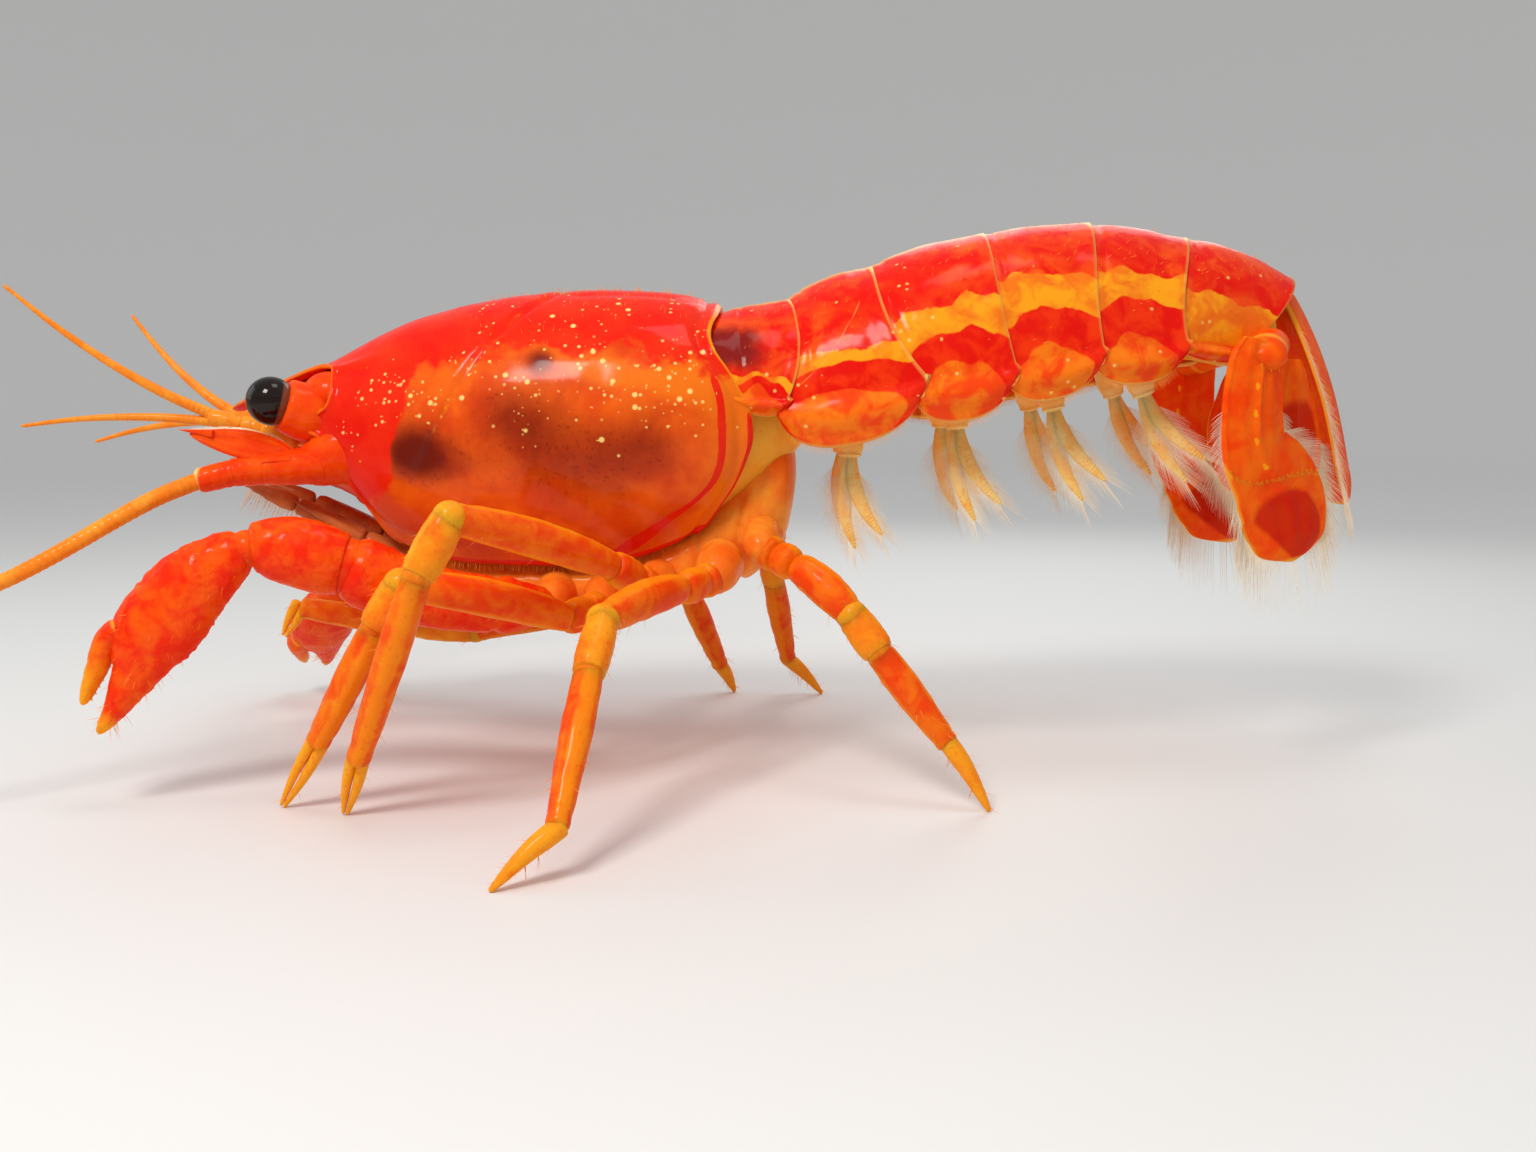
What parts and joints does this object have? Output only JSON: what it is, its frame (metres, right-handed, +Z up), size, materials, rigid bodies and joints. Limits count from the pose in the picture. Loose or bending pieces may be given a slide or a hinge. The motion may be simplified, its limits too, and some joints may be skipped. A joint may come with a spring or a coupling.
{
  "type": "orange dwarf crayfish",
  "caption": "Small orange crayfish standing on its walking legs, claws forward, long feelers out and tail fan cupped under.",
  "frame": {"origin": "under the middle of the model's box, on the floor that the feet stand on", "axes": "+X from head to tail, -Y the animal's left side, +Z up"},
  "size_m": [0.0492, 0.032, 0.0161],
  "materials": {
    "shell": "glossy orange-red shell with yellow marbling",
    "underside": "smooth pale orange skin and leg bases",
    "claw": "glossy orange-red with yellow tips",
    "leg": "glossy orange with yellow joints",
    "feeler": "fine golden rings",
    "eye": "polished black-brown",
    "swimmeret": "pale orange, feathery"
  },
  "bodies": {
    "root": {"abdomen_ring_1": "shell", "abdomen_ring_2": "shell", "abdomen_ring_3": "shell", "abdomen_ring_4": "shell", "abdomen_ring_5": "shell", "abdomen_ring_6": "shell", "antenna_base_left": "shell", "antenna_base_right": "shell", "antenna_whip_left": "feeler", "antenna_whip_right": "feeler", "antennule_left": "feeler", "antennule_right": "feeler", "carapace": "shell", "claw_arm_left": "claw", "claw_arm_right": "claw", "claw_finger_left": "claw", "claw_finger_right": "claw", "claw_hand_left": "claw", "claw_hand_right": "claw", "claw_wrist_left": "claw", "claw_wrist_right": "claw", "eye_left": "eye", "eye_right": "eye", "eye_stalk_left": "shell", "eye_stalk_right": "shell", "head": "shell", "leg_2_left_lower": "leg", "leg_2_left_upper": "leg", "leg_2_right_lower": "leg", "leg_2_right_upper": "leg", "leg_3_left_lower": "leg", "leg_3_left_upper": "leg", "leg_3_right_lower": "leg", "leg_3_right_upper": "leg", "leg_4_left_lower": "leg", "leg_4_left_upper": "leg", "leg_4_right_lower": "leg", "leg_4_right_upper": "leg", "leg_5_left_lower": "leg", "leg_5_left_upper": "leg", "leg_5_right_lower": "leg", "leg_5_right_upper": "leg", "mouth_leg_left": "leg", "mouth_leg_right": "leg", "swimmeret_2_left": "swimmeret", "swimmeret_2_right": "swimmeret", "swimmeret_3_left": "swimmeret", "swimmeret_3_right": "swimmeret", "swimmeret_4_left": "swimmeret", "swimmeret_4_right": "swimmeret", "swimmeret_5_left": "swimmeret", "swimmeret_5_right": "swimmeret", "tail_inner_left": "shell", "tail_inner_right": "shell", "tail_outer_left": "shell", "tail_outer_right": "shell", "telson": "shell", "thorax_underside": "underside"}
  },
  "joints": []
}
